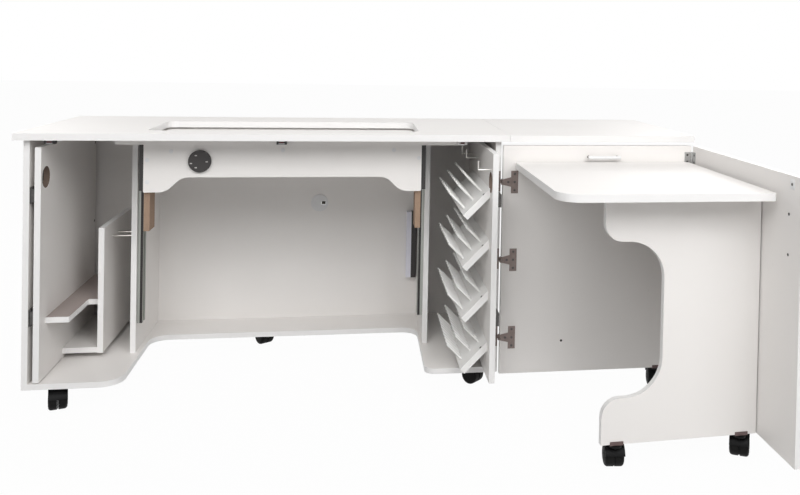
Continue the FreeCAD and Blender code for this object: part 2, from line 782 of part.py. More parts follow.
def door_mount(pin_at):
    """The piece on the end panel's front edge: a plate, a web and the middle knuckle with its pin."""
    z = pin_at.z
    plate_y = (carcass_front - hinge_plate, carcass_front)
    plate_z = (z - hinge_length / 2, z + hinge_length / 2)
    plate = box(right_inside + mount_edge, right_outside - mount_edge, *plate_y, *plate_z)
    web_z = (z - knuckle_half, z + knuckle_half)
    web = box(right_outside - mount_web, door_axis_x, door_axis_y, carcass_front, *web_z)
    knuckle = rod(pin_at + down * knuckle_half, pin_at + up * knuckle_half, knuckle_radius)
    pin = rod(pin_at + down * tip_half, pin_at + up * tip_half, pin_radius)
    return fused([plate, web, knuckle, pin])


def door_tee(pin_at):
    """The piece on the door: an upright head, and an arm that narrows to two straps and knuckles."""
    z = pin_at.z
    arm = [
        (door_1_left, z - tip_half, 0),
        (tee_left, z - root_half, 0),
        (tee_left, z + root_half, 0),
        (door_1_left, z + tip_half, 0),
    ]
    head = box(tee_left, tee_left + tee_width, tee_front, door_1_face, z - tee_half, z + tee_half)
    shapes = [head, front_plate(arm, tee_front, door_1_face)]
    for low, high in ((-tip_half, -tip_start), (tip_start, tip_half)):
        ends = (z + low, z + high)
        shapes.append(box(strap_left, door_1_left + cut_past, tee_front, door_1_face, *ends))
        shapes.append(box(strap_left, door_1_left - knuckle_gap, tee_front, door_axis_y, *ends))
        shapes.append(rod(pin_at + up * low, pin_at + up * high, knuckle_radius))
    bore = rod(pin_at + down * hinge_length, pin_at + up * hinge_length, pin_radius + running_gap)
    return fused(shapes).cut(bore)


hinge_mounts = []
hinge_tees = []
door_cuts = [stem_hole("door")]
for z in (low_hinge_z, (low_hinge_z + high_hinge_z) / 2, high_hinge_z):
    pin_at = Vec(door_axis_x, door_axis_y, z)
    hinge_mounts.append(door_mount(pin_at))
    hinge_tees.append(door_tee(pin_at))
    room = up * (tip_half + 2 * cut_past)
    door_cuts.append(rod(pin_at - room, pin_at + room, knuckle_radius + knuckle_gap))
parts["door_hinge_mounts"] = Part.makeCompound(hinge_mounts)
parts["door_1_hinge_tees"] = Part.makeCompound(hinge_tees)
door_1 = box(door_1_left, door_1_right, door_1_face, door_1_back, base_clear, door_top)
parts["door_1"] = cut_by(door_1, door_cuts)
first_post = Vec(door_1_left + door_1_handle_from_hinges, door_1_face, leaf_top + door_1_handle_above_leaf)
second_post = first_post + right * door_1_handle_span
parts["door_1_handle"] = bow_handle(first_post, second_post, front * door_1_handle_reach)

# Butt hinges: the fold between the doors, the low leaf on door 1 and the leg panel on door 2
fold_heights = (base_clear + fold_hinge_low, (base_clear + door_top) / 2, door_top - fold_hinge_high)
fold_spots = [Vec(fold_axis_x, fold_axis_y, z) for z in fold_heights]
leaf_hinge_xs = (leaf_left + leaf_hinge_inset, leaf_right - leaf_hinge_inset)
leaf_spots = [Vec(x, leaf_axis_y, leaf_axis_z) for x in leaf_hinge_xs]
leg_heights = (base_clear + leg_hinge_low, leg_top - leg_hinge_high)
leg_spots = [Vec(leg_axis_x, leg_axis_y, z) for z in leg_heights]
fold_mounts, fold_flaps = butt_hinges(fold_spots, up, (left, front), (front, left))
leaf_mounts, leaf_flaps = butt_hinges(leaf_spots, right, (down, front), (front, down))
leg_mounts, leg_flaps = butt_hinges(leg_spots, up, (back, left), (left, back))
leg_flaps = [turned(flap, leg_fold_corner, up, leg_panel_turn) for flap in leg_flaps]
parts["door_1_hinge_mounts"] = Part.makeCompound(fold_mounts + leaf_mounts)
parts["low_leaf_hinges"] = Part.makeCompound(leaf_flaps)
parts["door_2_hinge_leaves"] = Part.makeCompound(fold_flaps + leg_mounts)
parts["leg_panel_hinges"] = Part.makeCompound(leg_flaps)

# Low leaf with one rounded corner, held level in front of door 1
leaf_outline = [
    (leaf_left, leaf_front, leaf_round),
    (leaf_right, leaf_front, leaf_corner_round),
    (leaf_right, leaf_back, 0),
    (leaf_left, leaf_back, 0),
]
parts["low_leaf"] = flat_plate(leaf_outline, leaf_under, leaf_top)

# Door 2 with a bow handle outside, whose screws pass through the board
door_2 = box(door_2_face, door_2_outside, door_2_front, door_2_back, base_clear, door_top)
high_post = Vec(door_2_outside, door_2_front + door_2_handle_inset, door_top - door_2_handle_drop)
low_post = high_post + down * door_2_handle_span
through = left * board
screw_holes = []
handle_shapes = [bow_handle(low_post, high_post, right * door_2_handle_reach)]
for post in (low_post, high_post):
    head_back = post + through
    hole_end = post + right * cut_past
    screw_holes.append(rod(head_back + left * cut_past, hole_end, screw_radius + screw_gap))
    handle_shapes.append(rod(head_back + left * screw_head_thick, hole_end, screw_radius))
    handle_shapes.append(rod(head_back + left * screw_head_thick, head_back, screw_head_radius))
parts["door_2"] = cut_by(door_2, screw_holes)
parts["door_2_handle"] = fused(handle_shapes)

# Leg panel: a C-shaped board open to the left
leg_foot_top = base_clear + leg_foot_height
leg_arm_bottom = leg_top - leg_arm_height
leg_neck = leg_left + leg_cut_width
leg_outline = [
    (leg_right, base_clear, 0),
    (leg_left, base_clear, 0),
    (leg_left, leg_foot_top, leg_foot_round),
    (leg_neck, leg_foot_top, leg_low_round),
    (leg_neck, leg_arm_bottom, leg_high_round),
    (leg_left, leg_arm_bottom, leg_arm_round),
    (leg_left, leg_top, 0),
    (leg_right, leg_top, 0),
]
leg_panel = front_plate(leg_outline, leg_front, leg_back)
leg_panel = cut_by(leg_panel, [stem_hole(name) for name in leg_casters])
parts["leg_panel"] = turned(leg_panel, leg_fold_corner, up, leg_panel_turn)


# Caster plates: an angle under the leg panel or door 1, with a lip up the board's front
def caster_plate(name, board_front):
    x = caster_spots[name][0]
    middle = board_front + board / 2
    wide = (x - caster_plate_width / 2, x + caster_plate_width / 2)
    lip_front = board_front - caster_plate_thick
    plate_bottom = base_clear - caster_plate_thick
    plate = box(*wide, lip_front, board_front + board, plate_bottom, base_clear)
    lip = box(*wide, lip_front, board_front, plate_bottom, base_clear + caster_plate_lip)
    stem_room = rod(Vec(x, middle, 0), Vec(x, middle, base_top), stem_radius + loose_gap)
    return fused([plate, lip]).cut(stem_room)


leg_plates = [caster_plate(name, leg_front) for name in leg_casters]
leg_plates = [turned(plate, leg_fold_corner, up, leg_panel_turn) for plate in leg_plates]
parts["leg_caster_plates"] = Part.makeCompound(leg_plates)
parts["door_caster_plate"] = caster_plate("door", door_1_face)

# Right extension leaf with barrel hinges let into its edge
right_leaf_end = right_leaf_x + right_leaf_width
right_leaf = box(right_leaf_x, right_leaf_end, 0, worktop_depth, worktop_under, worktop_height)
barrel_z = worktop_height - worktop_thick / 2
barrels = []
barrel_holes = []
for y in (barrel_inset, worktop_depth / 2, worktop_depth - barrel_inset):
    start = Vec(right_leaf_x, y, barrel_z)
    end = start + right * barrel_length
    barrels.append(rod(start, end, barrel_radius))
    barrel_holes.append(rod(start + left * cut_past, end + right * fitting_gap, barrel_radius + fitting_gap))
parts["right_leaf"] = cut_by(right_leaf, barrel_holes)
parts["right_leaf_barrels"] = Part.makeCompound(barrels)

# The frame's origin is on the floor under the middle of the whole cabinet
os.makedirs("parts", exist_ok=True)
for name, shape in parts.items():
    shape.translate(Vec(-middle_x, -middle_y, 0))
    shape.exportStep("parts/" + name + ".step")
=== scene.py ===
import bmesh
import bpy
import json
import math
from mathutils import Matrix, Vector


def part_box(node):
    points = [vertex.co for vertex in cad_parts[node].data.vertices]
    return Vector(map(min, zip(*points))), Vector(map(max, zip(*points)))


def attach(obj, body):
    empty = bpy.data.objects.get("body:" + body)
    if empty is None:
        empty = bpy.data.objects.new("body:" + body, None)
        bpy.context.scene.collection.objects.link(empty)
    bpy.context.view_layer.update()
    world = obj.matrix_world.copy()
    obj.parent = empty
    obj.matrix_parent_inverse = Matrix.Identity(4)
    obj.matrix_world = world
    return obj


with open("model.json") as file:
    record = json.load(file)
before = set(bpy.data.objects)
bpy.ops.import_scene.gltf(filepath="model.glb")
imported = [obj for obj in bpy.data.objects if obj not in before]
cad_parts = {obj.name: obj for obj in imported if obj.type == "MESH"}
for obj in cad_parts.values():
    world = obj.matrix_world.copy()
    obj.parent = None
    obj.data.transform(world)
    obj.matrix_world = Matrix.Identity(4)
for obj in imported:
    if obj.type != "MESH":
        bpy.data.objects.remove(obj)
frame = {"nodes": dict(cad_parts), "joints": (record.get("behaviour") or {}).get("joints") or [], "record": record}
nodes = frame["nodes"]
joints = {joint["name"]: joint for joint in frame["joints"]}
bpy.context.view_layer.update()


# Boards of the carcass, pull-outs, doors and leaves
# Particle board faced with white melamine, sawn to size, with a glued plastic band on every cut edge.
# The facing has a faint orange-peel grain, and the bands are a little colder and glossier than the faces.
class Link:
    """A socket in a finish's node tree. Sums, products and comparisons of links add Math nodes."""

    first_colour = 6
    second_colour = 7
    mixed_colour = 2

    def __init__(self, tree, socket):
        self.tree = tree
        self.socket = socket

    def node(self, kind, settings, sockets, out=0):
        """Adds a node with settings and sockets, and links on from one of its outputs."""
        made = self.tree.nodes.new(kind)
        for key, value in settings.items():
            setattr(made, key, value)
        for key, value in sockets.items():
            if isinstance(value, Link):
                self.tree.links.new(value.socket, made.inputs[key])
            else:
                made.inputs[key].default_value = value
        return Link(self.tree, made.outputs[out])

    def into(self, shader, name):
        self.tree.links.new(self.socket, shader.inputs[name])

    def maths(self, operation, first, second=0.0):
        return self.node("ShaderNodeMath", {"operation": operation}, {0: first, 1: second})

    def __add__(self, other):
        return self.maths("ADD", self, other)

    def __radd__(self, other):
        return self.maths("ADD", other, self)

    def __sub__(self, other):
        return self.maths("SUBTRACT", self, other)

    def __rsub__(self, other):
        return self.maths("SUBTRACT", other, self)

    def __mul__(self, other):
        return self.maths("MULTIPLY", self, other)

    def __rmul__(self, other):
        return self.maths("MULTIPLY", other, self)

    def __gt__(self, other):
        return self.maths("GREATER_THAN", self, other)

    def __lt__(self, other):
        return self.maths("LESS_THAN", self, other)

    def __abs__(self):
        return self.maths("ABSOLUTE", self)

    def greater(self, other):
        return self.maths("MAXIMUM", self, other)

    def along(self, axis):
        return self.node("ShaderNodeSeparateXYZ", {}, {"Vector": self}, axis)

    def distance(self, point):
        sockets = {0: self, 1: point}
        return self.node("ShaderNodeVectorMath", {"operation": "DISTANCE"}, sockets, "Value")

    def noise(self, scale=1.0, detail=2.0, roughness=0.5, stretch=None):
        spot = self
        if stretch is not None:
            spot = self.node("ShaderNodeMapping", {}, {"Vector": self, "Scale": stretch})
        sockets = {"Vector": spot, "Scale": scale, "Detail": detail, "Roughness": roughness}
        return self.node("ShaderNodeTexNoise", {}, sockets)

    def blend(self, first, second):
        sockets = {"Factor": self, self.first_colour: first, self.second_colour: second}
        return self.node("ShaderNodeMix", {"data_type": "RGBA"}, sockets, self.mixed_colour)

    def bump(self, strength, depth):
        return self.node("ShaderNodeBump", {}, {"Strength": strength, "Distance": depth, "Height": self})


def start_finish(name):
    """A new material, its shader, and the place on the piece that its patterns read."""
    material = bpy.data.materials.new(name)
    material.use_nodes = True
    tree = material.node_tree
    shader = next(node for node in tree.nodes if node.type == "BSDF_PRINCIPLED")
    place = Link(tree, tree.nodes.new("ShaderNodeTexCoord").outputs["Object"])
    return material, shader, place


def facing(place, axis):
    """How far the surface faces along an axis, at each point of it."""
    return place.node("ShaderNodeNewGeometry", {}, {}, "Normal").along(axis)


def paint(finish, *names):
    for name in names:
        mesh = nodes[name].data
        mesh.materials.clear()
        mesh.materials.append(finish)


board_face = (0.845, 0.823, 0.802, 1)
board_cloud = (0.810, 0.787, 0.766, 1)
board_band = (0.860, 0.852, 0.845, 1)
board_scuff = (0.62, 0.61, 0.59, 1)
scratch_level = 0.70
worn_level = 0.56
scuff_strength = 0.25
face_roughness = 0.40
face_unevenness = 0.10
band_gloss = 0.08
top_brown_light = (0.40, 0.345, 0.325, 1)
top_brown_dark = (0.29, 0.245, 0.23, 1)
top_brown_dullness = 0.5
bare_and_shade_light = (0.20, 0.145, 0.115, 1)
bare_and_shade_dark = (0.10, 0.070, 0.055, 1)
bare_dullness = 0.4
faces_axis = 0.7                # a surface that faces more than this along an axis lies across it
finger_reach = 0.035            # from a finger hole's middle, past its wall and short of the panel's edge


def white_board(name, thin, brown_above=None, hole=None):
    """White melamine. thin is the axis across the board, so that its sawn edges get the band's look.

    A board given a height is grey-brown on the faces that look up from above it, and the wall of
    a finger hole, given by its middle, is bare board darkened with painted shade of the hole.
    """
    material, shader, place = start_finish(name)
    banded = 1 - (abs(facing(place, thin)) > faces_axis)
    cloud = place.noise(scale=3.5, detail=4.0)
    scratches = place.noise(scale=38.0, detail=5.0, roughness=0.65) > scratch_level
    worn_parts = place.noise(scale=6.0) > worn_level
    scuff = scratches * worn_parts * scuff_strength
    colour = banded.blend(cloud.blend(board_face, board_cloud), board_band)
    colour = scuff.blend(colour, board_scuff)
    uneven = place.noise(scale=26.0, detail=3.0)
    roughness = face_roughness + face_unevenness * uneven - band_gloss * banded
    if brown_above is not None:
        # The faces that look up from above the height are grey-brown, finely grained and duller.
        brown_top = (facing(place, "Z") > faces_axis) * (place.along("Z") > brown_above)
        top_grain = place.noise(scale=1500.0, detail=4.0, roughness=0.7)
        colour = brown_top.blend(colour, top_grain.blend(top_brown_dark, top_brown_light))
        roughness = roughness + top_brown_dullness * brown_top
    if hole is not None:
        # The finger hole's wall is bare board, darkened to a dark brown that is painted shade of the hole's
        # inside.
        bare_shaded_wall = banded * (place.distance(hole) < finger_reach)
        chips = place.noise(scale=600.0, detail=4.0, roughness=0.7)
        colour = bare_shaded_wall.blend(colour, chips.blend(bare_and_shade_dark, bare_and_shade_light))
        roughness = roughness + bare_dullness * bare_shaded_wall
    colour.into(shader, "Base Color")
    roughness.into(shader, "Roughness")
    place.noise(scale=900.0).bump(strength=0.08, depth=0.0004).into(shader, "Normal")
    return material


brown_top_margin = 0.002           # the brown's lower bound below the shelf's top
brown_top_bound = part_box("tower_shelves")[1][2] - brown_top_margin
flat_board = white_board("white_board_flat", "Z")
brown_topped_board = white_board("white_board_brown_topped", "Z", brown_above=brown_top_bound)
side_board = white_board("white_board_side", "X")
front_board = white_board("white_board_front", "Y")
paint(flat_board, "worktop", "base", "right_leaf", "low_leaf", "lift_platform")
paint(brown_topped_board, "tower_shelves")
paint(side_board, "end_panel_left", "end_panel_right", "partition_left", "partition_right")
paint(side_board, "tower_divider", "door_2")
paint(front_board, "back_panel", "front_rail", "lift_valance", "door_1", "leg_panel")
holes = {opening["name"]: opening["box_m"] for opening in frame["record"]["physics"]["openings"]}
for pull_out in ("tower", "rack"):
    hole_low, hole_high = (Vector(corner) for corner in holes[pull_out + "_finger_hole"])
    panel = pull_out + "_panel"
    paint(white_board("white_board_" + panel, "X", hole=(hole_low + hole_high) / 2), panel)


# Screw caps on the lift's valance
# Small domed caps of white plastic, pressed over the heads of the screws that hold the valance.
# Each has a thin flat rim and a low crown.
def mottled(name, pattern, colours, roughness, metallic=0.0, shine=0.5, bump=None, grain=None):
    """A finish that goes from one colour and roughness to another by a noise pattern.

    Its bump follows the same pattern, or a finer grain where one is given.
    """
    material, shader, place = start_finish(name)
    patches = place.noise(**pattern)
    patches.blend(*colours).into(shader, "Base Color")
    least, most = roughness
    (least + (most - least) * patches).into(shader, "Roughness")
    shader.inputs["Metallic"].default_value = metallic
    shader.inputs["Specular IOR Level"].default_value = shine
    if bump is not None:
        relief = patches if grain is None else place.noise(scale=grain)
        relief.bump(**bump).into(shader, "Normal")
    return material


def start_piece(name, add, **sizes):
    """A new piece from a primitive, in edit mode with all of it selected."""
    bpy.ops.object.select_all(action="DESELECT")
    add(**sizes)
    piece = bpy.context.object
    piece.name = name
    piece.data.name = name
    bpy.ops.object.mode_set(mode="EDIT")
    bpy.ops.mesh.select_mode(type="FACE")
    return piece


def pull_up(height):
    bpy.ops.mesh.extrude_region_move(TRANSFORM_OT_translate={"value": (0, 0, height)})


def close_piece(smooth_below=35.0):
    """Leaves edit mode with the place in the mesh, the faces outwards and the rounds shaded smooth."""
    bpy.ops.mesh.select_all(action="SELECT")
    bpy.ops.mesh.normals_make_consistent(inside=False)
    bpy.ops.object.mode_set(mode="OBJECT")
    bpy.ops.object.transform_apply(location=True, rotation=True, scale=True)
    bpy.ops.object.shade_smooth_by_angle(angle=math.radians(smooth_below))


def stepped_disc(name, radius, sides, rim, steps, smooth_below):
    """A disc pulled up to its rim, and then stepped inwards by a width and up or down by a height."""
    add = bpy.ops.mesh.primitive_circle_add
    disc = start_piece(name, add, vertices=sides, radius=radius, fill_type="NGON")
    pull_up(rim)
    for width, height in steps:
        bpy.ops.mesh.inset(thickness=width)
        if height != 0:
            pull_up(height)
    close_piece(smooth_below)
    return disc


def copies(model, name, places, finish, body):
    """A piece made of copies of a model, each moved by a matrix, and carried by a body."""
    bpy.ops.object.select_all(action="DESELECT")
    for place in places:
        copy = bpy.data.objects.new(name, model.data.copy())
        copy.data.transform(place)
        bpy.context.scene.collection.objects.link(copy)
        copy.select_set(True)
        bpy.context.view_layer.objects.active = copy
    if len(places) > 1:
        bpy.ops.object.join()
    piece = bpy.context.object
    piece.name = name
    piece.data.name = name
    piece.data.materials.clear()
    piece.data.materials.append(finish)
    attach(piece, body)


def standing(point, out):
    """A matrix that takes a piece modelled upright at the origin to a point, facing a direction."""
    return Matrix.Translation(point) @ Vector(out).to_track_quat("Z", "Y").to_matrix().to_4x4()


milk_pattern = {"scale": 45.0, "detail": 3.0}
milk_colours = ((0.80, 0.80, 0.80, 1), (0.73, 0.73, 0.74, 1))
milk_smoothest = 0.34
milk_roughest = 0.44
moulded_bump = {"strength": 0.05, "depth": 0.0003}
moulded_grain = 1100.0
white_plastic = mottled(
    "moulded_white",
    pattern=milk_pattern,
    colours=milk_colours,
    roughness=(milk_smoothest, milk_roughest),
    bump=moulded_bump,
    grain=moulded_grain,
)
to_left = Vector((-1, 0, 0))
to_right = Vector((1, 0, 0))
to_front = Vector((0, -1, 0))
to_back = Vector((0, 1, 0))
to_down = Vector((0, 0, -1))
to_up = Vector((0, 0, 1))
cap_radius = 0.0062
cap_rim = 0.0007
cap_rim_width = 0.0012
cap_crown = 0.0014
cap_crown_width = 0.0016
cap_tip = 0.00035
cap_steps = ((cap_rim_width, cap_crown), (cap_crown_width, cap_tip), (cap_crown_width, 0))
cap = stepped_disc("cap", cap_radius, sides=28, rim=cap_rim, steps=cap_steps, smooth_below=80.0)
valance_low, valance_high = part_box("lift_valance")
left_caps = ((0.075, 0.024), (0.010, 0.049), (0.011, 0.112))
right_caps = ((0.387, 0.020), (0.709, 0.019), (0.784, 0.043))
cap_places = []
for right, down in left_caps + right_caps:      # from the valance's top left corner
    spot = Vector((valance_low[0] + right, valance_low[1], valance_high[2] - down))
    cap_places.append(standing(spot, to_front))
copies(cap, "valance_screw_caps", cap_places, white_plastic, "lift")
bpy.data.objects.remove(cap)

# Lift side plates
# Two uprights of bare fibreboard behind the valance's ends, left in the board's own brown.
# The sawn faces show matted fibres and a darker speck here and there.
fibre_dark = (0.25, 0.165, 0.115, 1)
fibre_light = (0.40, 0.28, 0.20, 1)
fibre_speck = (0.16, 0.10, 0.065, 1)
speck_level = 0.66
speck_strength = 0.5
sawn_roughness = 0.82
fibre_roughness = 0.12
raw_board, shader, place = start_finish("raw_fibreboard")
fibres = place.noise(detail=6.0, roughness=0.7, stretch=(260.0, 260.0, 60.0))
specks = (place.noise(scale=420.0) > speck_level) * speck_strength
specks.blend(fibres.blend(fibre_dark, fibre_light), fibre_speck).into(shader, "Base Color")
(sawn_roughness + fibre_roughness * fibres).into(shader, "Roughness")
fibres.bump(strength=0.35, depth=0.0006).into(shader, "Normal")
paint(raw_board, "lift_side_plates")

# Lift rails
# Two extruded aluminium rails, satin anodised in grey, screwed upright to the partitions.
# Fine die lines run along their length.
anodised = mottled(
    "anodised_rail",
    pattern={"detail": 3.0, "stretch": (2600.0, 2600.0, 5.0)},
    colours=((0.30, 0.31, 0.29, 1), (0.42, 0.43, 0.40, 1)),
    roughness=(0.36, 0.52),
    metallic=0.8,
    bump={"strength": 0.12, "depth": 0.0002},
)
paint(anodised, "lift_rails")

# Lift carriages, control dial and the upright case
# Black moulded plastic with the fine even grain of a spark-eroded mould, browned a little by handling.
black_plastic = mottled(
    "moulded_black",
    pattern={"scale": 30.0, "detail": 3.0},
    colours=((0.016, 0.015, 0.015, 1), (0.040, 0.035, 0.034, 1)),
    roughness=(0.46, 0.62),
    bump={"strength": 0.22, "depth": 0.0003},
    grain=1600.0,
)
paint(black_plastic, "control_dial", "lift_carriages", "upright_case")


# Toothed strips on the lift rails
# A black nylon strip down the front of each rail, moulded with square teeth for the lift's gear.
# Each strip is glued to the rail's face on the side towards the knee space.
def start_block(name, size):
    """A block on the origin, from its length, width and height."""
    block = start_piece(name, bpy.ops.mesh.primitive_cube_add, size=1.0, location=(0, 0, 0.5))
    bpy.ops.transform.resize(value=size, center_override=(0, 0, 0))
    return block


def round_edges(radius):
    bpy.ops.mesh.select_all(action="SELECT")
    bpy.ops.mesh.select_mode(type="EDGE")
    bpy.ops.mesh.bevel(offset=radius, segments=2, affect="EDGES")


def rounded_block(name, size, radius):
    block = start_block(name, size)
    round_edges(radius)
    close_piece()
    return block


looks_along = 0.9               # a face that turns more than this to a direction looks that way


def pick_faces(piece, *directions):
    """Selects only the faces that look in one of some directions."""
    bpy.ops.mesh.select_all(action="DESELECT")
    mesh = bmesh.from_edit_mesh(piece.data)
    for face in mesh.faces:
        face.select_set(any(face.normal.dot(direction) > looks_along for direction in directions))
    bmesh.update_edit_mesh(piece.data)


strip_width = 0.007
strip_edge = 0.0005             # rail's inner edge to the strip
strip_thick = 0.0012
strip_round = 0.0003
tooth_pitch = 0.0055
tooth_height = 0.0028
tooth_out = 0.0016
tooth_taper = (0.8, 1.0, 0.6)   # of a tooth's crest to its root, across, out and along the strip
rail_thick = 0.016
rail_low, rail_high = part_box("lift_rails")
rail_length = rail_high[2] - rail_low[2]
strip = rounded_block("strip", (strip_width, strip_thick, rail_length), strip_round)
tooth = start_block("tooth", (strip_width, tooth_out, tooth_height))
pick_faces(tooth, to_front)
bpy.ops.transform.resize(value=tooth_taper)
close_piece()
bpy.ops.transform.translate(value=(0, -(strip_thick + tooth_out) / 2, tooth_pitch / 2))
bpy.ops.object.transform_apply(location=True, rotation=False, scale=False)
row = tooth.modifiers.new("row", "ARRAY")
row.count = int(rail_length / tooth_pitch) - 1
row.use_relative_offset = False
row.use_constant_offset = True
row.constant_offset_displace = (0, 0, tooth_pitch)
bpy.ops.object.modifier_apply(modifier="row")
strip.select_set(True)
bpy.context.view_layer.objects.active = strip
bpy.ops.object.join()
strip_y = rail_low[1] - strip_thick / 2
strip_inset = rail_thick - strip_width / 2 - strip_edge
strip_places = []
for x in (rail_low[0] + strip_inset, rail_high[0] - strip_inset):
    strip_places.append(Matrix.Translation((x, strip_y, rail_low[2])))
copies(strip, "lift_rail_teeth", strip_places, black_plastic, "cabinet")
bpy.data.objects.remove(strip)

# Marks on the control dial
# Four short raised bars of pale plastic let into the dial's face, one near each quarter turn.
# They show how far the dial has been turned.
pale_mark = mottled(
    "pale_dial_mark",
    pattern={"scale": 400.0, "detail": 3.0},
    colours=((0.62, 0.60, 0.58, 1), (0.46, 0.44, 0.43, 1)),
    roughness=(0.5, 0.7),
)
mark_length = 0.0062
mark_width = 0.0030
mark_out = 0.0006
mark_round = 0.00024
mark = rounded_block("mark", (mark_length, mark_width, mark_out), mark_round)
dial_low, dial_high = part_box("control_dial")
dial_middle = Vector(((dial_low[0] + dial_high[0]) / 2, dial_low[1], (dial_low[2] + dial_high[2]) / 2))
mark_offsets = ((-0.0102, 0.0170), (0.0200, -0.0010), (-0.0102, -0.0180), (-0.0235, -0.0058))
mark_places = []
for right, rise in mark_offsets:                # from the dial's middle
    mark_places.append(standing(dial_middle + Vector((right, 0, rise)), to_front))
copies(mark, "dial_marks", mark_places, pale_mark, "dial")
bpy.data.objects.remove(mark)

# Spool racks
# Four slanting boards on the pull-out panel, each with three rows of turned pins that spools go over.
# They are sprayed white all over, which leaves a fine dull grain on the boards and the pins.
spray_light = (0.88, 0.875, 0.86, 1)
spray_shade = (0.84, 0.835, 0.82, 1)
spray_roughness = 0.50
spray_unevenness = 0.14
sprayed, shader, place = start_finish("sprayed_white")
place.noise(scale=9.0, detail=3.0).blend(spray_light, spray_shade).into(shader, "Base Color")
(spray_roughness + spray_unevenness * place.noise(scale=140.0)).into(shader, "Roughness")
place.noise(scale=1400.0).bump(strength=0.10, depth=0.0003).into(shader, "Normal")
paint(sprayed, "spool_racks")

# Slides and hooks
# Roll-formed steel slides with a dark plating, greased and rubbed along the way that they run, and bent
# wire hooks with a bright one. The slides' dark grey is partly painted shade of their channels' insides.
plating_and_shade_dark = (0.050, 0.048, 0.047, 1)
plating_and_shade_light = (0.13, 0.125, 0.12, 1)
slide_roughness = 0.34
grease_roughness = 0.14
rubbed_roughness = 0.10
slide_metallic = 0.7
dark_plating_and_shade, shader, place = start_finish("dark_plated_slide_and_painted_shade")
grease = place.noise(scale=120.0, detail=3.0, roughness=0.6)
rubbed = place.noise(detail=3.0, stretch=(900.0, 20.0, 900.0))
# The slides' dark grey is partly their plating and partly painted shade of the channels' insides.
grease.blend(plating_and_shade_dark, plating_and_shade_light).into(shader, "Base Color")
shader.inputs["Metallic"].default_value = slide_metallic
(slide_roughness + grease_roughness * grease + rubbed_roughness * rubbed).into(shader, "Roughness")
rubbed.bump(strength=0.10, depth=0.0002).into(shader, "Normal")
paint(dark_plating_and_shade, "slide_channels", "tower_slide_members", "rack_slide_members")
bright_wire = mottled(
    "bright_wire",
    pattern={"scale": 300.0, "detail": 3.0},
    colours=((0.62, 0.60, 0.57, 1), (0.78, 0.76, 0.73, 1)),
    roughness=(0.24, 0.38),
    metallic=0.9,
)
paint(bright_wire, "tower_hooks", "rack_hooks")

# T-shaped hinges of door 1
# Pressed steel with a dull pinkish-brown plating: a T on the door and a mount on the end panel's edge.
# The plating is thinner and paler where hands and tools have rubbed it.
bronzed = mottled(
    "bronzed_steel",
    pattern={"scale": 90.0, "detail": 4.0, "roughness": 0.6},
    colours=((0.15, 0.115, 0.105, 1), (0.30, 0.245, 0.225, 1)),
    roughness=(0.38, 0.60),
    metallic=0.55,
    bump={"strength": 0.10, "depth": 0.0002},
    grain=700.0,
)
paint(bronzed, "door_hinge_mounts", "door_1_hinge_tees")

# Butt hinges and the right leaf's barrels
# Pressed and zinc plated steel. The plating is bright grey, blotched by its crystals.
plated = mottled(
    "zinc_plated_steel",
    pattern={"scale": 160.0, "detail": 3.0, "roughness": 0.6},
    colours=((0.46, 0.46, 0.45, 1), (0.62, 0.62, 0.62, 1)),
    roughness=(0.28, 0.46),
    metallic=0.9,
    bump={"strength": 0.08, "depth": 0.0002},
)
paint(plated, "door_1_hinge_mounts", "low_leaf_hinges", "door_2_hinge_leaves", "leg_panel_hinges")
paint(plated, "right_leaf_barrels")

# Screws of the T-shaped hinges
# Dark steel screws with low heads and a cross recess: four in each T and two in each mount.
# The butt hinges, door 2's handle, the spool racks and the strike plate have the same screws.
dark_screw = mottled(
    "dark_screw_steel",
    pattern={"scale": 500.0, "detail": 3.0},
    colours=((0.055, 0.05, 0.048, 1), (0.16, 0.15, 0.145, 1)),
    roughness=(0.35, 0.55),
    metallic=0.8,
)
screw_radius = 0.0036
screw_height = 0.0012
screw_rim = screw_height / 2    # the two steps make up the rest of the head
screw_steps = ((screw_radius / 5, screw_height / 3), (screw_radius / 4, screw_height / 6))
recess_arm = 0.0007
recess_reach = 0.0013
screw = stepped_disc("screw", screw_radius, sides=24, rim=screw_rim, steps=screw_steps, smooth_below=60.0)
recess = start_block("recess", (2 * recess_arm, 2 * recess_arm, screw_height))
bpy.ops.transform.translate(value=(0, 0, screw_height / 2))
pick_faces(recess, to_left, to_right, to_front, to_back)
bpy.ops.mesh.extrude_faces_move(TRANSFORM_OT_shrink_fatten={"value": recess_reach})
close_piece()
cut = screw.modifiers.new("cut", "BOOLEAN")
cut.object = recess
cut.operation = "DIFFERENCE"
bpy.context.view_layer.objects.active = screw
bpy.ops.object.modifier_apply(modifier="cut")
bpy.data.objects.remove(recess)
tee_half = 0.033
tee_head = 0.0105
tee_screw_rise = 0.024
arm_screw_reach = 0.019
mount_plate = 0.0015
mount_screw_rise = 0.020
mount_screw_inset = 0.007
tee_low, tee_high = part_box("door_1_hinge_tees")
mount_low, mount_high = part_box("door_hinge_mounts")
tee_offsets = ((0, tee_screw_rise), (0, 0), (0, -tee_screw_rise), (-arm_screw_reach, 0))
tee_screws = []
mount_screws = []
for z in (tee_low[2] + tee_half, (tee_low[2] + tee_high[2]) / 2, tee_high[2] - tee_half):
    head = Vector((tee_high[0] - tee_head, tee_low[1], z))
    for right, rise in tee_offsets:             # from the middle of the T's head
        tee_screws.append(standing(head + Vector((right, 0, rise)), to_front))
    for rise in (-mount_screw_rise, mount_screw_rise):
        spot = (mount_low[0] + mount_screw_inset, mount_high[1] - mount_plate, z + rise)
        mount_screws.append(standing(Vector(spot), to_front))
copies(screw, "door_1_tee_screws", tee_screws, dark_screw, "door_1")
copies(screw, "door_mount_screws", mount_screws, dark_screw, "cabinet")

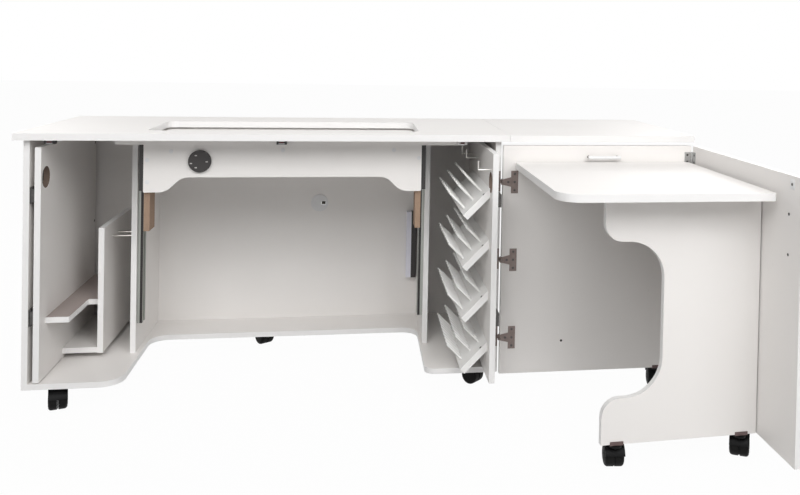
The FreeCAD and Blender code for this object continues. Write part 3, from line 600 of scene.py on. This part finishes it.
# Screws of the butt hinges
# Three in each leaf, countersunk so that their heads clear the boards that fold past them.
# Door 1 and door 2 each carry leaves of two rows of hinges.
knuckle_radius = 0.003
hinge_plate = 0.0015
hinge_screw_reach = 0.0135      # pin to the row of screws
hinge_screw_rows = (-0.021, 0.0, 0.021)
proud_share = 0.3               # of a head's height that stands out of the leaf
countersunk = Matrix.Diagonal((1, 1, proud_share, 1))


def leaf_screws(points, axis, along, out):
    """The three screws in each leaf of a row of butt hinges, from the middles of their pins."""
    spots = []
    for point in points:
        face = point - out * (knuckle_radius - hinge_plate)
        for row in hinge_screw_rows:
            spot = face + along * hinge_screw_reach + axis * row
            spots.append(standing(spot, out) @ countersunk)
    return spots


fold_hinge_low = 0.072          # door 1's bottom edge to the lowest hinge's middle
fold_hinge_high = 0.048         # highest hinge's middle to door 1's top edge
leg_hinge_low = 0.112           # as the two above, on the leg panel
leg_hinge_high = 0.120
leg_panel_turn = 3.0            # degrees the leg panel stands out of parallel with door 1
leaf_hinge_inset = 0.090        # low leaf's ends to its hinges' middles
door_low, door_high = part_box("door_1")
fold_x, fold_y, _ = joints["door_2_fold"]["pos_m"]
fold_heights = (
    door_low[2] + fold_hinge_low,
    (door_low[2] + door_high[2]) / 2,
    door_high[2] - fold_hinge_high,
)
fold_points = [Vector((fold_x, fold_y, z)) for z in fold_heights]
leg_low, leg_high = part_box("leg_panel")
leg_x, leg_y, _ = joints["leg_panel_fold"]["pos_m"]
leg_heights = (leg_low[2] + leg_hinge_low, leg_high[2] - leg_hinge_high)
leg_points = [Vector((leg_x, leg_y, z)) for z in leg_heights]
leg_turn = Matrix.Rotation(math.radians(leg_panel_turn), 3, "Z")
leaf_low, leaf_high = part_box("low_leaf")
_, leaf_y, leaf_z = joints["low_leaf_lift"]["pos_m"]
leaf_hinge_xs = (leaf_low[0] + leaf_hinge_inset, leaf_high[0] - leaf_hinge_inset)
leaf_points = [Vector((x, leaf_y, leaf_z)) for x in leaf_hinge_xs]
door_1_screws = leaf_screws(fold_points, to_up, to_left, to_front)
door_1_screws += leaf_screws(leaf_points, to_right, to_down, to_front)
copies(screw, "door_1_hinge_screws", door_1_screws, dark_screw, "door_1")
door_2_screws = leaf_screws(fold_points, to_up, to_front, to_left)
door_2_screws += leaf_screws(leg_points, to_up, to_back, to_left)
copies(screw, "door_2_hinge_screws", door_2_screws, dark_screw, "door_2")
low_leaf_screws = leaf_screws(leaf_points, to_right, to_front, to_down)
copies(screw, "low_leaf_hinge_screws", low_leaf_screws, dark_screw, "low_leaf")
leg_screws = leaf_screws(leg_points, to_up, leg_turn @ to_left, leg_turn @ to_back)
copies(screw, "leg_panel_hinge_screws", leg_screws, dark_screw, "leg_panel")

# Screws of door 2's handle
# One for each end of the bow, driven from inside the door.
handle_radius = 0.005
handle_low, handle_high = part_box("door_2_handle")
handle_y = (handle_low[1] + handle_high[1]) / 2
handle_screws = []
for z in (handle_low[2] + handle_radius, handle_high[2] - handle_radius):
    handle_screws.append(standing(Vector((handle_low[0], handle_y, z)), to_left))
copies(screw, "door_2_handle_screws", handle_screws, dark_screw, "door_2")

# Screws of the spool racks
# One through the upper face of each slanting board, near its front end, into the pull-out panel.
rack_count = 4
rack_pitch = 0.146
lowest_rack_rise = 0.075
spool_thick = 0.018
rack_screw_out = 0.0245
rack_screw_back = 0.006
slant_out = Vector((-1, 0, -1)).normalized()
slant_up = Vector((-1, 0, 1)).normalized()
rack_panel_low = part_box("rack_panel")[0]
rack_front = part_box("spool_racks")[0][1]
rack_screws = []
for i in range(rack_count):
    rise = lowest_rack_rise + rack_pitch * i
    root = Vector((rack_panel_low[0], rack_front, rack_panel_low[2] + rise))
    upper = root + to_up * (spool_thick * math.sqrt(2))
    spot = upper + slant_out * rack_screw_out + to_back * rack_screw_back
    rack_screws.append(standing(spot, slant_up))
copies(screw, "spool_rack_screws", rack_screws, dark_screw, "thread_rack")

# Dark caps
# Small black plastic plugs pressed into fitting holes of the boards: two near the tower panel's back edge
# and one low on door 1.
plug_radius = 0.0036
plug_rim = 0.0007
plug_rim_width = 0.0009
plug_dish = 0.0003
plug_steps = ((plug_rim_width, -plug_dish),)
tower_plug_inset = 0.010
tower_plug_rises = (0.345, 0.602)
door_plug_inset = 0.185
door_plug_rise = 0.092
plug = stepped_disc("plug", plug_radius, sides=24, rim=plug_rim, steps=plug_steps, smooth_below=60.0)
tower_low, tower_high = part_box("tower_panel")
tower_spots = []
for rise in tower_plug_rises:
    spot = Vector((tower_high[0], tower_high[1] - tower_plug_inset, tower_low[2] + rise))
    tower_spots.append(standing(spot, to_right))
copies(plug, "tower_plugs", tower_spots, black_plastic, "tower")
door_spot = Vector((door_low[0] + door_plug_inset, door_low[1], door_low[2] + door_plug_rise))
copies(plug, "door_1_plug", [standing(door_spot, to_front)], black_plastic, "door_1")
bpy.data.objects.remove(plug)

# Strike plate on door 2
# A small pale plate for a catch, moulded with a raised middle, inside the door's upper front corner.
# One dark screw holds it.
strike_width = 0.024
strike_height = 0.020
strike_thick = 0.0010
strike_rim = 0.003
strike_raise = 0.0005
strike_round = 0.0002
strike_inset = 0.043
strike_drop = 0.020
strike = start_block("strike", (strike_height, strike_width, strike_thick))
pick_faces(strike, to_up)
bpy.ops.mesh.inset(thickness=strike_rim)
pull_up(strike_raise)
round_edges(strike_round)
close_piece()
door_2_low, door_2_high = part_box("door_2")
strike_at = Vector((door_2_low[0], door_2_low[1] + strike_inset, door_2_high[2] - strike_drop))
copies(strike, "door_2_strike", [standing(strike_at, to_left)], white_plastic, "door_2")
strike_screw = [standing(strike_at + to_left * (strike_thick + strike_raise), to_left)]
copies(screw, "door_2_strike_screw", strike_screw, dark_screw, "door_2")
bpy.data.objects.remove(strike)
bpy.data.objects.remove(screw)

# Handles and cable grommet
# White moulded plastic, smooth and slightly glossy. Door 1's bow handle stands on two bright steel posts.
post_steel = (0.22, 0.21, 0.20, 1)
post_metallic = 0.85
post_gloss = 0.06
paint(white_plastic, "door_2_handle", "cable_grommet")
bow_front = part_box("door_1_handle")[0][1]
bow_and_posts, shader, place = start_finish("white_bow_on_steel_posts")
milky = place.noise(**milk_pattern)
post = place.along("Y") > bow_front + 2 * handle_radius
post.blend(milky.blend(*milk_colours), post_steel).into(shader, "Base Color")
(post * post_metallic).into(shader, "Metallic")
bow_roughness = milk_smoothest + (milk_roughest - milk_smoothest) * milky
(bow_roughness - post_gloss * post).into(shader, "Roughness")
paint(bow_and_posts, "door_1_handle")

# Painted shade in the cable grommet's slot
# A short pad, dark brown with streaks, closes the grommet's slot as painted shade of the space behind it.
# Its front stands just inside the grommet's face.
# A dark brown pad of painted shade, where the slot would show the shadow behind it.
slot_shade = mottled(
    "painted_slot_shade",
    pattern={"detail": 4.0, "roughness": 0.7, "stretch": (900.0, 900.0, 60.0)},
    colours=((0.020, 0.015, 0.012, 1), (0.075, 0.058, 0.047, 1)),
    roughness=(0.75, 0.95),
    bump={"strength": 0.5, "depth": 0.0006},
)
shade_pad_thick = 0.004
shade_pad_round = 0.0005
shade_pad_back = 0.007            # grommet's face to the pad's back
slot_low, slot_high = (Vector(corner) for corner in holes["cable_slot"])
slot_size = slot_high - slot_low
slot_middle = (slot_low + slot_high) / 2
shade_pad = rounded_block("shade_pad", (slot_size.x, slot_size.z, shade_pad_thick), shade_pad_round)
grommet_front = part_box("cable_grommet")[0][1]
shade_pad_at = Vector((slot_middle.x, grommet_front + shade_pad_back, slot_middle.z))
copies(shade_pad, "grommet_slot_shade", [standing(shade_pad_at, to_front)], slot_shade, "cabinet")
bpy.data.objects.remove(shade_pad)

# Upright case's cover
# A narrow moulded strip, of a slightly bluer white than the boards, clipped along the black case's side.
blue_white = mottled(
    "moulded_blue_white",
    pattern={"scale": 40.0, "detail": 3.0},
    colours=((0.82, 0.82, 0.90, 1), (0.74, 0.74, 0.83, 1)),
    roughness=(0.36, 0.48),
    bump=moulded_bump,
    grain=moulded_grain,
)
paint(blue_white, "upright_case_cover")

# Magnetic catches
# Moulded housings screwed under the worktop, two black and the right one white. Each holds a magnet
# between two steel plates that stand a little proud in front.
catch_dark = (0.016, 0.015, 0.015, 1)
catch_worn = (0.040, 0.036, 0.035, 1)
catch_white = (0.68, 0.67, 0.66, 1)
catch_roughness = 0.42
catch_unevenness = 0.16
catch_width = 0.028
catch_low, catch_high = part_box("magnetic_catches")
catch_plastic, shader, place = start_finish("catch_housing")
mould = place.noise(scale=200.0, detail=3.0)
white_one = place.along("X") > catch_high[0] - 2 * catch_width
white_one.blend(mould.blend(catch_dark, catch_worn), catch_white).into(shader, "Base Color")
(catch_roughness + catch_unevenness * mould).into(shader, "Roughness")
paint(catch_plastic, "magnetic_catches")
magnet_red = mottled(
    "dark_red_magnet",
    pattern={"scale": 800.0, "detail": 3.0},
    colours=((0.055, 0.012, 0.014, 1), (0.11, 0.026, 0.028, 1)),
    roughness=(0.45, 0.65),
)
magnet_out = 0.0016
magnet_round = 0.0004
magnet_share = 0.45             # of the housing's width and height
pole_out = 0.0022
pole_round = 0.000275
pole_length_share = 0.6         # of the housing's width
pole_thick_share = 0.12         # of the housing's height, as the next one
pole_rise_share = 0.3
catch_tall = catch_high[2] - catch_low[2]
magnet_size = (catch_width * magnet_share, catch_tall * magnet_share, magnet_out)
magnet = rounded_block("magnet", magnet_size, magnet_round)
pole_size = (catch_width * pole_length_share, catch_tall * pole_thick_share, pole_out)
pole = rounded_block("pole", pole_size, pole_round)
platform_low, platform_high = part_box("lift_platform")
middle_catch_shift = 0.007      # to the left of the platform's middle
catch_middle_z = (catch_low[2] + catch_high[2]) / 2
catch_xs = (
    catch_low[0] + catch_width / 2,
    (platform_low[0] + platform_high[0]) / 2 - middle_catch_shift,
    catch_high[0] - catch_width / 2,
)
magnet_places = []
pole_places = []
for x in catch_xs:
    front_middle = Vector((x, catch_low[1], catch_middle_z))
    magnet_places.append(standing(front_middle, to_front))
    for rise in (-catch_tall * pole_rise_share, catch_tall * pole_rise_share):
        pole_places.append(standing(front_middle + to_up * rise, to_front))
copies(magnet, "catch_magnets", magnet_places, magnet_red, "cabinet")
copies(pole, "catch_poles", pole_places, plated, "cabinet")
bpy.data.objects.remove(magnet)
bpy.data.objects.remove(pole)

# Caster plates under the leg panel and door 1
# Brown moulded angles that lap the boards' bottom edges and take the casters' stems.
brown_plastic = mottled(
    "moulded_brown",
    pattern={"scale": 120.0, "detail": 3.0},
    colours=((0.085, 0.052, 0.050, 1), (0.14, 0.092, 0.088, 1)),
    roughness=(0.45, 0.60),
    bump={"strength": 0.12, "depth": 0.0003},
    grain=1300.0,
)
paint(brown_plastic, "leg_caster_plates", "door_caster_plate")

# Casters
# Twin-wheel furniture casters: a hooded black nylon fork and black nylon wheels with greyed treads.
# A stepped hub cap is pressed into the outer face of each wheel.
nylon_shine = 0.10
nylon_bump = {"strength": 0.10, "depth": 0.0003}
nylon = mottled(
    "black_nylon_fork",
    pattern={"scale": 60.0, "detail": 3.0},
    colours=((0.004, 0.004, 0.0042, 1), (0.008, 0.008, 0.0084, 1)),
    roughness=(0.40, 0.58),
    shine=nylon_shine,
    bump=nylon_bump,
    grain=900.0,
)
tread = mottled(
    "black_nylon_wheel",
    pattern={"scale": 110.0, "detail": 5.0, "roughness": 0.7},
    colours=((0.004, 0.004, 0.004, 1), (0.011, 0.0108, 0.0105, 1)),
    roughness=(0.38, 0.68),
    shine=nylon_shine,
    bump=nylon_bump,
)
hub_radius = 0.0165
hub_rim = 0.0006
hub_rim_width = 0.0022
hub_dish = 0.0004
hub_dish_width = 0.0050
hub_boss = 0.0005
hub_crown = 0.0002
hub_steps = ((hub_rim_width, -hub_dish), (hub_dish_width, hub_boss), (hub_rim_width, hub_crown))
hub = stepped_disc("hub", hub_radius, sides=40, rim=hub_rim, steps=hub_steps, smooth_below=50.0)
wheel_outside = 0.024           # wheels' middle to a wheel's outer face
base_casters = ("front_left", "front_right", "back_left", "back_middle", "back_right")
for name in base_casters + ("door", "leg_outer", "leg_inner"):
    caster = "caster_" + name
    wheels = caster + "_wheels"
    paint(nylon, caster + "_fork")
    paint(tread, wheels)
    roll = joints[caster + "_roll"]
    axle = Vector(roll["axis"])
    middle = Vector(roll["pos_m"])
    hub_places = [standing(middle + out * wheel_outside, out) for out in (axle, -axle)]
    copies(hub, caster + "_hubs", hub_places, tread, wheels)
bpy.data.objects.remove(hub)


# Floor and background
# A pale floor that runs out to a white background. Both look white, but light the object only a little.
def shown_rays(tree):
    """One for the rays that see the background: straight on, in a mirror or through glass."""
    rays = tree.nodes.new("ShaderNodeLightPath")
    seen = Link(tree, rays.outputs["Is Camera Ray"])
    for name in ("Is Glossy Ray", "Is Transmission Ray"):
        seen = seen.greater(Link(tree, rays.outputs[name]))
    return seen


white = (1, 1, 1, 1)
floor_width = 40.0
floor_gap = 0.0005              # below the wheels
floor_grey = (0.55, 0.55, 0.55, 1)
floor_roughness = 0.6
floor_white = 0.975
fill_strength = 0.07
fill_colour = (1.0, 0.94, 0.90, 1)
bpy.ops.object.select_all(action="DESELECT")
bpy.ops.mesh.primitive_plane_add(size=floor_width, location=(0, 0, -floor_gap))
floor = bpy.context.object
floor.name = "floor"
floor_finish, shader, place = start_finish("pale_floor")
shader.inputs["Base Color"].default_value = floor_grey
shader.inputs["Roughness"].default_value = floor_roughness
glow = place.node("ShaderNodeEmission", {}, {"Color": white, "Strength": 1.0})
surface = Link(place.tree, shader.outputs["BSDF"])
white_share = shown_rays(place.tree) * floor_white
lit = place.node("ShaderNodeMixShader", {}, {0: white_share, 1: surface, 2: glow})
ending = next(node for node in place.tree.nodes if node.type == "OUTPUT_MATERIAL")
lit.into(ending, "Surface")
floor.data.materials.append(floor_finish)
world = bpy.data.worlds.new("studio")
bpy.context.scene.world = world
world.use_nodes = True
sky = next(node for node in world.node_tree.nodes if node.type == "BACKGROUND")
shown = shown_rays(world.node_tree)
(fill_strength + shown * (1.0 - fill_strength)).into(sky, "Strength")
shown.blend(fill_colour, white).into(sky, "Color")


# Lamps
# Broad soft lamps: four high in front, one overhead and two behind.
def soft_lamp(name, place, aim, size, watts):
    lamp = bpy.data.lights.new(name, "AREA")
    lamp.shape = "RECTANGLE"
    lamp.size = size[0]
    lamp.size_y = size[1]
    lamp.energy = watts
    holder = bpy.data.objects.new(name, lamp)
    bpy.context.scene.collection.objects.link(holder)
    holder.location = place
    holder.rotation_euler = (Vector(aim) - Vector(place)).to_track_quat("-Z", "Y").to_euler()


corner_size = (2.2, 1.6)
wide_size = (3.0, 1.6)
top_size = (3.0, 2.4)
soft_lamp("left_lamp", (-1.9, -3.2, 2.8), aim=(0, 0, 0.45), size=corner_size, watts=48)
soft_lamp("right_lamp", (2.1, -3.2, 2.8), aim=(0.2, 0, 0.45), size=corner_size, watts=58)
soft_lamp("front_lamp", (0.1, -3.6, 2.4), aim=(0.1, 0, 0.45), size=wide_size, watts=20)
soft_lamp("high_lamp", (0.1, -2.3, 3.4), aim=(0.1, 0, 0.4), size=wide_size, watts=52)
soft_lamp("top_lamp", (0.2, 0.2, 3.6), aim=(0.1, 0, 0.5), size=top_size, watts=18)
soft_lamp("back_left_lamp", (-2.6, 2.9, 2.5), aim=(0, 0, 0.4), size=corner_size, watts=30)
soft_lamp("back_right_lamp", (2.6, 2.9, 2.5), aim=(0, 0, 0.4), size=corner_size, watts=30)

# Camera
# It stands in front of the knee space, a little above the worktop, and looks slightly to the right.
picture_width = 800
picture_height = 495
focal_pixels = 855.077
optical_centre = (492.81, 62.82)
turn_right = 0.1596             # radians, as the next two
look_down = 0.0171
lean = 0.0207
stand = (-0.0800, -2.4213, 1.0221)
film_width = 36.0
lens = bpy.data.cameras.new("front_camera")
lens.sensor_width = film_width
lens.lens = film_width * focal_pixels / picture_width
lens.shift_x = (picture_width / 2 - optical_centre[0]) / picture_width
lens.shift_y = (optical_centre[1] - picture_height / 2) / picture_width
camera = bpy.data.objects.new("front_camera", lens)
bpy.context.scene.collection.objects.link(camera)
aim = Matrix.Rotation(-turn_right, 4, "Z") @ Matrix.Rotation(math.pi / 2 - look_down, 4, "X")
camera.matrix_world = Matrix.Translation(stand) @ aim @ Matrix.Rotation(lean, 4, "Z")
bpy.context.scene.camera = camera
bpy.context.scene.view_settings.view_transform = "Standard"
